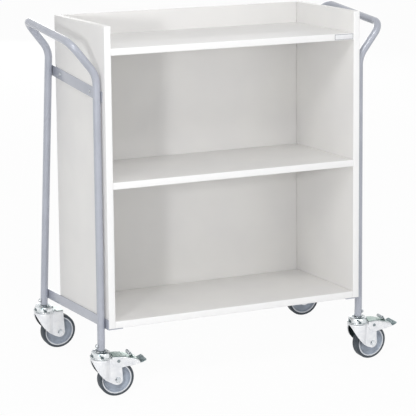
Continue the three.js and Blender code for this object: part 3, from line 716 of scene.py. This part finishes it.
# %% Places of the casters
def caster_axes(corner):
    """Columns: from the stem to the axle, along the axle, and up."""
    trail = joint_place("roll_" + corner) - STEM[corner]
    trail[2] = 0
    trail /= np.linalg.norm(trail)
    return np.column_stack([trail, np.cross([0, 0, 1.0], trail), [0, 0, 1.0]])


AXES = {corner: caster_axes(corner) for corner in CORNERS}
AXLE = joint_place("roll_front_left")
TRAIL = float(np.linalg.norm((AXLE - STEM["front_left"])[:2]))
AXLE_HEIGHT = float(AXLE[2])


def in_caster(points, corner):
    """Caster points put in their place at a corner."""
    return points @ AXES[corner].T + STEM[corner] * (1, 1, 0)


def crosswise(points, side=1, height=AXLE_HEIGHT):
    """Points turned round Z, laid down on the axle or at another height, +Z to one side."""
    x, y, z = np.moveaxis(points, -1, 0)
    return np.stack([x + TRAIL, side * z, y + height], -1)


def add_to_casters(name, corners, body, grids, finish, slot, node, **more):
    """Adds one piece at each corner, from grids in caster axes. Body and node come without their
    corner's name."""
    for corner in corners:
        placed = [(in_caster(points, corner), *closed) for points, *closed in grids]
        rides_on = f"{body}_{corner}" if body else FRAME_BODY
        add_piece(f"{name}_{corner}", placed, finish, rides_on, slot, f"{node}_{corner}", **more)
    print(name, "has", PIECES[f"{name}_{corner}"], "faces")


print("trail", round(TRAIL * 1000, 1), "mm, axle", round(AXLE_HEIGHT * 1000, 1), "mm high")

# %% [markdown]
# ### Wheels
# A tyre is a ring with a flat tread, round shoulders and two thin grooves. The hub is dished, with
# a boss round the axle, and its pale outer lip is a ring of its own. All are profiles turned round
# the axle. Tyre and hub are alike on both sides, so half of each profile is enough.

# %% Wheels
WHEEL_SIDES = 96
TYRE_HALF = [(0.05, 0), (0.05, 0.0037), (0.0494, 0.00395), (0.0494, 0.00445), (0.05, 0.0047),
             (0.05, 0.0095), (0.0487, 0.0122), (0.0465, 0.0136), (0.0445, 0.0140),
             (0.0432, 0.0134), (0.0423, 0.0118)]
TYRE_BENDS = (0.0001, 0.0002, 0.0001, 0.0002, 0.003, 0.002, 0.002, 0.001, 0.0005)
HUB_HALF = [(0.0046, 0), (0.0046, 0.0160), (0.0105, 0.0162), (0.0128, 0.0120), (0.0142, 0.0066),
            (0.0200, 0.0046), (0.0310, 0.0042), (0.0362, 0.0062), (0.0385, 0.0112),
            (0.0396, 0.0116)]
HUB_BENDS = (0.0002, 0.0008, 0.003, 0.003, 0.006, 0.006, 0.004, 0.0004)
LIP_LINE = [(0.0392, 0.0090), (0.0392, 0.0126), (0.0427, 0.0126), (0.0427, 0.0090)]
LIP_BEND = 0.0007


def both_halves(half):
    """Half a profile, from the middle outwards, with its mirror image before it."""
    return np.concatenate([half[::-1] * (1, -1), half[1:]])


tyre = both_halves(rounded(TYRE_HALF, TYRE_BENDS, 3))
hub = both_halves(rounded(HUB_HALF, HUB_BENDS, 4))
lip = rounded(LIP_LINE, LIP_BEND, 3)
WHEEL_PARTS = (("tread_tyre", [tyre], TYRE, "tyre_rubber", "tyre"),
               ("dished_hub", [hub], HUB, "hub_plastic", "wheel_hub"),
               ("rim_lip", [lip, lip * (1, -1)], RIM, "hub_plastic", "wheel_hub"))
for name, profiles, *look in WHEEL_PARTS:
    rings = [(crosswise(turned(profile, WHEEL_SIDES)), True, True) for profile in profiles]
    add_to_casters(name, CORNERS, "wheel", rings, *look)

# %% [markdown]
# ### Axle bolts
# A thin washer, a chamfered hexagon and the bolt's domed end in it, the same at both ends of the
# axle.

# %% Axle bolts
CHEEK_OUTSIDE = 0.020
AXLE_SEAT = CHEEK_OUTSIDE + 0.0003
NUT_LINE = ((0, 0), (0.0078, 0), (0.0078, 0.0012), (0.0072, 0.0012), (0.0072, 0.0041),
            (0.006048, 0.0050), (0.0038, 0.0050), (0.0034, 0.0046), (0, 0.0047))
NUT_HEXAGON = (0, 0, 0, 1, 1, 0, 0, 0, 0)
NUT_BEVEL = 0.0002


def both_ends(line, sides, height=AXLE_HEIGHT, hexagon=0.0):
    """A line of (radius, place) turned round an axle or a pin, at its left and its right end."""
    points = turned(line, sides, hexagon)
    return [(crosswise(points, side, height), False, True) for side in (-1, 1)]


nuts = both_ends(np.array(NUT_LINE) + (0, AXLE_SEAT), 48, hexagon=NUT_HEXAGON)
add_to_casters("axle_nut", CORNERS, "caster", nuts, BOLT_ZINC, "bright_zinc", "axle_bolt",
               bevel=NUT_BEVEL)

# %% [markdown]
# ### Swivel domes
# The bearing's upper half is pressed from sheet: a steep wall and a crown with lugs round the leg's
# foot. The lugs are the only part that isn't turned: a wave round the crown lifts the profile
# there. A rolled ring round the wall's foot closes the ball race.

# %% Domes and race rings
DOME_FOOT, DOME_TOP = (corner[2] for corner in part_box("swivel_dome_front_left"))
DOME_SIDES = 96
LUGS, LUG_HEIGHT = 8, 0.0016
LUG_FROM, LUG_TO = 0.0125, 0.0185
CROWN = DOME_TOP - LUG_HEIGHT
DOME_LINE = ((0.0108, CROWN), (0.0190, CROWN - 0.0004), (0.0243, CROWN - 0.0016),
             (0.0264, DOME_FOOT + 0.0115), (0.0276, DOME_FOOT + 0.0036),
             (0.0276, DOME_FOOT + 0.0006), (0.0240, DOME_FOOT + 0.0006))
DOME_BENDS = (0.004, 0.0024, 0.012, 0.003, 0.0006)


def dome_surface():
    """The turned dome plus LUG_HEIGHT * sin(radial place * pi)^2 * sqrt((1 + cos(lugs * a)) / 2),
    where the radial place runs from 0 to 1 across the lugs, and no point over the dome's top."""
    line = rounded(DOME_LINE, DOME_BENDS, 6)
    crown = np.linspace(line[0], line[1], 16)[:-1]
    points = turned(np.concatenate([crown, line[1:]]), DOME_SIDES)
    x, y, z = np.moveaxis(points, -1, 0)
    across = np.clip((np.hypot(x, y) - LUG_FROM) / (LUG_TO - LUG_FROM), 0, 1)
    wave = (1 + np.cos(LUGS * np.arctan2(y, x))) / 2
    lift = LUG_HEIGHT * np.sin(across * math.pi) ** 2 * wave ** 0.5
    return np.stack([x, y, np.minimum(z + lift, DOME_TOP)], -1)


RING_RADIUS = 0.0300
RING_LINE = ((0.0272, 0.0022), (0.0272, 0.0044), (RING_RADIUS, 0.0044), (RING_RADIUS, 0),
             (0.0272, 0), (0.0272, 0.0022))
RING_BENDS = (0.0005, 0.0019, 0.0014, 0.0005)
race = turned(rounded(RING_LINE, RING_BENDS, 6) + (0, DOME_FOOT), DOME_SIDES)
look = (BRIGHT_ZINC, "bright_zinc", "swivel_dome")
add_to_casters("pressed_dome", CORNERS, "", [(dome_surface(), False, True)], *look, fill=True)
add_to_casters("race_ring", CORNERS, "", [(race, True, True)], *look)

# %% [markdown]
# ### Forks
# A fork is one pressed sheet. Seen from above its section is a keyhole: two flat cheeks beside the
# wheel, a flare, and a round apron under the bearing. Seen from the side each cheek is cut along a
# curve down to the axle.

# %% Forks
SHEET = 0.003
FORK_BEVEL = 0.0004
CHEEK_MIDDLE = CHEEK_OUTSIDE - SHEET / 2
APRON_RADIUS = 0.0290 - SHEET / 2
CREASE_X, FLARE_X, CREASE_BEND, CREASE_POINTS = 0.0195, 0.0070, 0.003, (1, 5, 6)
CHEEK_ROUND, CHEEK_TAPER = 0.0148, 0.0070
CHEEK_REAR = TRAIL + CHEEK_ROUND
CROWN_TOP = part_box("fork_front_left")[1][2]
ROOF_END = {True: TRAIL - 0.005, False: CHEEK_REAR - CHEEK_TAPER}
ROOF_BEND = 0.0030
ROOF_MIDDLE = CROWN_TOP - SHEET / 2
CUT_START, CUT_BEND = np.array([-0.0272, 0.1072]), np.array([-0.0095, 0.0540])
CUT_END = np.array([TRAIL - 0.0063, AXLE_HEIGHT - 0.0134])


def keyhole():
    """The sheet's middle line from the cheek's rear edge to the front: straight, flare, arc. At
    CREASE_POINTS the crease starts and ends and the flare ends."""
    start = math.acos(FLARE_X / APRON_RADIUS)
    a = np.linspace(start, math.pi, 40)
    arc = APRON_RADIUS * np.stack([np.cos(a), np.sin(a)], -1)
    bend = [(CHEEK_REAR, CHEEK_MIDDLE), (CREASE_X, CHEEK_MIDDLE), tuple(arc[0])]
    return np.concatenate([rounded(bend, CREASE_BEND, 4)[:-1], arc])


def cheek_ends(height):
    """Where the cheek ends in front and behind at a height: at the round about the axle, and above
    it at a quadratic curve B(t) from CUT_START by CUT_BEND to CUT_END in front and at a line that
    leans forward behind."""
    t = np.linspace(0, 1, 60)[:, None]
    curve = (1 - t) ** 2 * CUT_START + 2 * t * (1 - t) * CUT_BEND + t * t * CUT_END
    cut = np.interp(height, curve[::-1, 1], curve[::-1, 0])
    half = np.sqrt(CHEEK_ROUND ** 2 - np.clip(AXLE_HEIGHT - height, 0, CHEEK_ROUND) ** 2)
    rise = np.clip(height - AXLE_HEIGHT, 0, None) / (CROWN_TOP - AXLE_HEIGHT)
    return np.where(height < CUT_END[1], TRAIL - half, cut), TRAIL + half - CHEEK_TAPER * rise


print("the keyhole line is", round(float(run(keyhole())[-1]) * 1000, 1), "mm long")

# %% [markdown]
# A Boolean could cut the cheek's curve, but it leaves thin faces. Here a point is found by its
# distance along the keyhole line and its height, so the cut only shortens the rows. The roof's rows
# run inwards from the same line.

# %% Cheek and roof of a fork
def cheek_grid(braked):
    """Rows from the round about the axle up to the roof's bend. Each row's columns are shared out
    between its rear end, the crease points and its front end, so the creases stay straight. Gives
    also the column where the roof starts."""
    line = keyhole()
    length = run(line)
    round_part = AXLE_HEIGHT - CHEEK_ROUND * np.cos(np.linspace(0, math.pi / 2, 13))
    upper_part = np.linspace(AXLE_HEIGHT, ROOF_MIDDLE - ROOF_BEND, 30)
    heights = np.concatenate([round_part[:-1], upper_part])
    front, rear = cheek_ends(heights)
    front, rear = np.interp(-front, -line[:, 0], length), CHEEK_REAR - rear
    front[-1] = length[-1]
    stops = np.stack([rear, *(np.minimum(front, length[k]) for k in CREASE_POINTS), front])
    roof_share = max(CHEEK_REAR - ROOF_END[braked] - rear[-1], 0) / (stops[1, -1] - rear[-1])
    before = np.linspace(0, roof_share, 8)[:-1] if braked else np.empty(0)
    spans = ((roof_share, 1, 20), (1, 2, 5), (2, 3, 9), (3, 4, 40))
    share = np.concatenate([before, [roof_share], *(np.linspace(*span)[1:] for span in spans)])
    stop = np.minimum(share.astype(int), len(stops) - 2)
    along = (stops[stop] + (share - stop)[:, None] * (stops[stop + 1] - stops[stop])).T
    x, y = (np.interp(along, length, line[:, k]) for k in (0, 1))
    return np.stack([x, y, heights[:, None] + 0 * x], -1), len(before)


def roof_grid(edge):
    """Rows that leave the cheek's top edge in a quarter circle, and then rows that run in to the
    fork's middle plane, or to the stem's axis from the apron."""
    inward = np.stack([np.clip(edge[:, 0], 0, None), 0 * edge[:, 0]], -1) - edge[:, :2]
    reach = np.linalg.norm(inward, axis=1)[:, None]
    direction = inward / reach
    t = np.linspace(0, math.pi / 2, 6)[:-1, None, None]
    s = np.linspace(0, 1, 8)[:, None, None]
    distance = np.concatenate([ROOF_BEND * (1 - np.cos(t)) + 0 * reach,
                               ROOF_BEND + (reach - ROOF_BEND) * s])
    z = ROOF_MIDDLE - np.concatenate([ROOF_BEND * (1 - np.sin(t)), 0 * s]) + 0 * distance
    return np.concatenate([edge[:, :2] + direction * distance, z], -1)


def fork_grids(braked):
    """Cheek and roof on both sides."""
    cheek, start = cheek_grid(braked)
    roof = roof_grid(cheek[-1, start:])
    return [(grid * m, False, False) for m in (1, MIRROR) for grid in (cheek, roof)]


BRAKED, FREE = ("front_left", "front_right"), ("rear_left", "rear_right")
# The forks' inner faces get the dark painted-shade finish.
for corners in (BRAKED, FREE):
    add_to_casters("pressed_fork", corners, "caster", fork_grids(corners == BRAKED), FORK_ZINC,
                   "fork_zinc", "fork", sheet=SHEET, bevel=FORK_BEVEL, inside=FORK_PAINTED_SHADE)

# %% [markdown]
# A fork without a brake carries a small plate on its roof, on a smaller pad that leaves a slit
# between plate and fork. The pad has the forks' dark painted-shade finish, so the slit reads dark.
# Both have a rounded rectangle as their plan.

# %% Top plates
PLATE_MIDDLE, PLATE_HALF = (0.0430, 0), np.array([0.0115, 0.0170])
PLATE_BENDS = (0.0050, 0.001, 0.001, 0.0050)
PAD_SECTION = ((0.0010, -0.0004), (0.0010, 0.0016))
PLATE_SECTION = ((0.0003, 0.0014), (0, 0.0016), (0, 0.0027), (0.0003, 0.0030))


def plate_surface(section):
    """The plan's outline, moved in and up by each (step, rise) of the section: middle + outline *
    (half size - step) / half size, at the fork's top + rise."""
    corners = np.array([(1, 0), (1, 1), (-1, 1), (-1, -1), (1, -1), (1, 0)])
    outline = rounded(corners * PLATE_HALF, PLATE_BENDS, 6)[:-1]
    step, rise = np.array(section).T[:, :, None, None]
    plan = PLATE_MIDDLE + outline * (PLATE_HALF - step) / PLATE_HALF
    return np.concatenate([plan, CROWN_TOP + rise + 0 * plan[..., :1]], -1)


# The pad's dark finish is painted shade in the slit under the plate.
for name, section, finish in (("plate_pad", PAD_SECTION, FORK_PAINTED_SHADE),
                              ("top_plate", PLATE_SECTION, PLATE_ZINC)):
    add_to_casters(name, FREE, "caster", [(plate_surface(section), False, True)], finish,
                   "fork_zinc", "fork", fill=True)

# %% [markdown]
# ### Brake pedals
# A pedal is a channel pressed from two-millimetre sheet: a web, two flanges outside the fork, a
# heel cut round the dome, a ribbed lip at the toe and a tongue with a curled end. The web's line is
# a profile in the side view. The sheet is a grid of that line's points by the section's width, and
# the lip's ribs are a wave on its last rows.

# %% Brake pedals
PIVOT = joint_place("brake_front_left")[2]
PEDAL_SHEET, PEDAL_BEND, PEDAL_BEVEL = 0.002, 0.0025, 0.0003
PEDAL_HALF = 0.0224 - PEDAL_SHEET / 2
WEB_HALF = PEDAL_HALF - PEDAL_BEND
PEDAL_REACH, HEEL, LIP_RUN = 0.066, 0.022, 0.0165
LIP_RIBS, RIB_HEIGHT, LIP_ROUND, LIP_STEP = 5, 0.0007, 0.0045, 0.002
HEEL_RADIUS = RING_RADIUS + 0.0017
PEDAL_LINE = ((-HEEL, 0.0130), (0, 0.0130), (0.0178, 0.0110), (0.0310, 0.0070), (0.0521, 0.0016),
              (0.0601, -0.0033), (PEDAL_REACH, -0.0104), (PEDAL_REACH + LIP_RUN - 0.0004, -0.0031))
PEDAL_BENDS = (0.05, 0.04, 0.04, 0.015, 0.008, 0.0016)
PEDAL_STEPS = 140
FLANGE_LINE = ((-HEEL, -0.0020), (-0.0209, -0.0073), (-0.0176, -0.0109), (-0.0121, -0.0144),
               (-0.0040, -0.0165), (0, -0.0190), (0.0099, -0.0197), (0.0198, -0.0180),
               (0.0363, -0.0171), (0.0528, -0.0144), (0.0647, -0.0122))


def pedal_line():
    """The web's middle line at equal distances, and the number of its last point before the lip.
    On the lip it rises by RIB_HEIGHT * (1 - cos(2 pi * ribs * s)) / 2, s from 0 to 1."""
    line = rounded(PEDAL_LINE, PEDAL_BENDS, 6) - (0, PEDAL_SHEET / 2)
    length = run(line)
    at = np.linspace(0, length[-1], PEDAL_STEPS)
    line = np.stack([np.interp(at, length, line[:, k]) for k in (0, 1)], -1)
    toe = int(np.argmax(line[:, 0] > PEDAL_REACH - 0.001))
    s = np.clip((np.arange(PEDAL_STEPS) - toe - 2) / (PEDAL_STEPS - toe - 4), 0, 1)
    line[:, 1] += RIB_HEIGHT * (1 - np.cos(2 * math.pi * LIP_RIBS * s)) / 2
    return line, toe


def pedal_web(line):
    """The line's points by the section's width. Behind the pin x is drawn in to a circle round the
    dome. The lip is as wide as the flanges, less round * (1 - sqrt(1 - c * c)) towards its end."""
    x = line[:, :1]
    y = np.linspace(-WEB_HALF, WEB_HALF, 13)
    heel = -TRAIL + np.sqrt(HEEL_RADIUS ** 2 - y ** 2)
    web_x = np.where(x > 0, x, heel * np.clip(-x / HEEL, 0, 1))
    lip_share = np.clip((x - PEDAL_REACH) / LIP_STEP, 0, 1)
    c = np.clip(1 - (x[-1] - x) / LIP_ROUND, 0, 1)
    half = WEB_HALF + (PEDAL_HALF + PEDAL_SHEET / 2 - WEB_HALF) * lip_share
    half = half - LIP_ROUND * (1 - np.sqrt(1 - c ** 2))
    return np.stack([web_x, y * half / WEB_HALF, line[:, 1:] + 0 * web_x], -1)


def pedal_side(line, web):
    """The quarter-circle bend at the web's edge, and the flange from there to its lower line."""
    b = np.linspace(0, math.pi / 2, 5)
    x = web[:, -1, :1] + 0 * b
    bend = np.stack([x, WEB_HALF + PEDAL_BEND * np.sin(b) + 0 * x,
                     line[:, 1:] - PEDAL_BEND * (1 - np.cos(b))], -1)
    top = bend[:, -1:]
    foot = top.copy()
    foot[:, 0, 2] = np.interp(line[:, 0], *np.array(FLANGE_LINE).T)
    return bend, top + (foot - top) * np.linspace(0, 1, 6)[:, None]


def at_pivot(points):
    """Points measured from the pedal's pin, moved into caster axes."""
    return points + np.array([TRAIL, 0, PIVOT])


def pedal_grids():
    """The grids of the web, the lip, and the bends and flanges of both sides."""
    line, toe = pedal_line()
    web = pedal_web(line)
    bend, flange = pedal_side(line[:toe], web[:toe])
    both = (1, MIRROR)
    parts = ((web[:toe + 1], (1,)), (web[toe:], (1,)), (bend, both), (flange, both))
    return [[(at_pivot(grid * m), False, False) for m in sides] for grid, sides in parts]


# The bends get bright zinc as a painted highlight along each bend of the sheet.
PEDAL_PARTS = (("pedal_web", PEDAL_ZINC), ("pedal_lip", LIP_ZINC), ("pedal_bends", BRIGHT_ZINC),
               ("pedal_flanges", FORK_ZINC))
for (part, finish), grids in zip(PEDAL_PARTS, pedal_grids()):
    add_to_casters(part, BRAKED, "brake", grids, finish, "bright_zinc", "brake_pedal",
                   sheet=PEDAL_SHEET, bevel=PEDAL_BEVEL)

# %% [markdown]
# The tongue that lifts the pedal is a strip of slightly thinner sheet. Its curl stays open at the
# end, as a press leaves it.

# %% Pedal tongues
TONGUE_FOOT, TONGUE_TIP = np.array([0.0490, 0.0018]), np.array([0.0384, 0.0172])
TONGUE_HALF, TONGUE_CURL = 0.011, 0.0040
TONGUE_SHEET = PEDAL_SHEET * 0.9


def tongue_grid():
    """A strip that rises straight from the web to its tip and then curls by 300 degrees."""
    direction = (TONGUE_TIP - TONGUE_FOOT) / np.linalg.norm(TONGUE_TIP - TONGUE_FOOT)
    side = np.array([-direction[1], direction[0]])
    a = np.linspace(0, math.radians(300), 22)[:, None]
    curl = TONGUE_TIP + TONGUE_CURL * (np.sin(a) * direction + (1 - np.cos(a)) * side)
    line = np.concatenate([np.linspace(TONGUE_FOOT, TONGUE_TIP, 8)[:-1], curl])
    y = np.linspace(-TONGUE_HALF, TONGUE_HALF, 9)[None, :]
    return at_pivot(np.stack([line[:, :1] + 0 * y, y + 0 * line[:, :1], line[:, 1:] + 0 * y], -1))


add_to_casters("pedal_tongue", BRAKED, "brake", [(tongue_grid(), False, False)], BOLT_ZINC,
               "bright_zinc", "brake_pedal", sheet=TONGUE_SHEET, bevel=PEDAL_BEVEL)

# %% [markdown]
# ### Pins and leg bolts
# The pedal's pin has flat round heads with a soft edge. The bolt through the leg has a round head
# with a socket.

# %% Pins and leg bolts
PIN_LINE = ((0, 0.0227), (0.0045, 0.0227), (0.0045, 0.0241), (0, 0.0241))
PIN_BENDS = (0.0002, 0.0008)
LEG_BOLT = {"radius": 0.0058, "thickness": 0.0055, "socket": 0.0022, "depth": 0.002}

pins = both_ends(rounded(PIN_LINE, PIN_BENDS, 4), 32, PIVOT)
add_to_casters("pin_head", BRAKED, "caster", pins, PIN_ZINC, "bright_zinc", "pedal_pin")
head = button_head(**LEG_BOLT)
for corner in CORNERS:
    side = SIDES[corner.split("_")[1]]
    seat = side_seat("leg_bolt_" + corner, side, LEG_BOLT["thickness"])
    add_head("leg_bolt_head_" + corner, head, seat, (side, 0, 0), "leg_bolt_" + corner)
print("leg bolts:", len(CORNERS))

# %% [markdown]
# ### What stays
# Stems, brake shoes and shelf pins keep the frame's own shape, because it is already right. They
# only get their finish.

# %% Finishes of the frame's own pieces
KEPT = {"stem_": BRIGHT_ZINC, "brake_shoe_": FORK_ZINC, "shelf_pin_": BRIGHT_ZINC}
for node, shown in frame["nodes"].items():
    for start, finish in KEPT.items():
        if node.startswith(start):
            shown.data.materials.clear()
            shown.data.materials.append(finish)
print("kept as they are:", sorted(n for n, o in frame["nodes"].items() if not o.hide_render))

# %% [markdown]
# ## The studio
# A pale floor takes the trolley's soft shadow, and a white world stands for the studio's walls. The
# camera, and metal that mirrors the studio, see the world at full white.

# %% Floor and light
FLOOR_HALF = 15.0
FLOOR_WHITE_SHARE = 0.95
WORLD_LEVEL = 0.58
WHITE = (1, 1, 1, 1)


def sees_white(wire):
    """1 for rays from the camera or by way of a mirroring or clear surface, which should meet a
    white studio, and 0 for the rays that light the pieces."""
    rays = [wire.node("LightPath", out=f"Is {kind} Ray")
            for kind in ("Camera", "Glossy", "Transmission")]
    return wire.math("MINIMUM", rays[0] + rays[1] + rays[2], 1.0)


def floor_finish():
    """Mostly the studio's white where it is seen, with a share of the trolley's shadow."""
    material, wire, _ = new_finish("pale_floor", Base_Color=paint(235, 235, 235), Roughness=0.9)
    tree = material.node_tree
    white = wire.node("Emission", {"Color": WHITE, "Strength": 1.0})
    pale = Wire(tree, tree.nodes["Principled BSDF"].outputs[0])
    share = sees_white(wire) * FLOOR_WHITE_SHARE
    mixed = wire.node("MixShader", {0: share, 1: pale, 2: white})
    tree.links.new(mixed.socket, tree.nodes["Material Output"].inputs["Surface"])
    return material


h = FLOOR_HALF
floor_mesh = bpy.data.meshes.new("floor")
floor_mesh.from_pydata([(-h, -h, 0), (h, -h, 0), (h, h, 0), (-h, h, 0)], [], [(0, 1, 2, 3)])
floor_mesh.materials.append(floor_finish())
add_object("floor", floor_mesh)

world = bpy.data.worlds.new("studio")
bpy.context.scene.world = world
world.use_nodes = True
background = world.node_tree.nodes["Background"]
background.inputs["Color"].default_value = WHITE
level = sees_white(Wire(world.node_tree)) * (1 - WORLD_LEVEL) + WORLD_LEVEL
world.node_tree.links.new(level.socket, background.inputs["Strength"])
print("world level", WORLD_LEVEL)

# %% [markdown]
# A wide lamp above the front left gives the boards their shades. A small one beside the camera
# draws the handle's soft shadow on the side panel and the glint at its bend. Two wide weak ones
# fill the front right and the back.

# %% Lamps
MIDDLE = (0, 0, 0.6)
LEFT_SIDE = (-0.3, 0, 0.7)


def softbox(name, place, target, size, watts):
    """A square area lamp that faces its target."""
    data = bpy.data.lights.new(name, "AREA")
    data.size, data.energy = size, watts
    lamp = add_object(name, data)
    lamp.location = place
    lamp.rotation_euler = (Vector(target) - Vector(place)).to_track_quat("-Z", "Y").to_euler()


softbox("key", (-1.2, -2.5, 3.9), MIDDLE, 1.2, 46)
softbox("fill", (1.6, -3.8, 1.5), MIDDLE, 1.6, 10)
softbox("side", (-3.1, -2.9, 1.55), LEFT_SIDE, 0.3, 38)
softbox("back", (1.6, 3.9, 0.9), MIDDLE, 1.6, 24)
print("lamps:", len(bpy.data.lights))

# %% The end
print("pieces made:", len(PIECES), "with", sum(PIECES.values()), "faces")
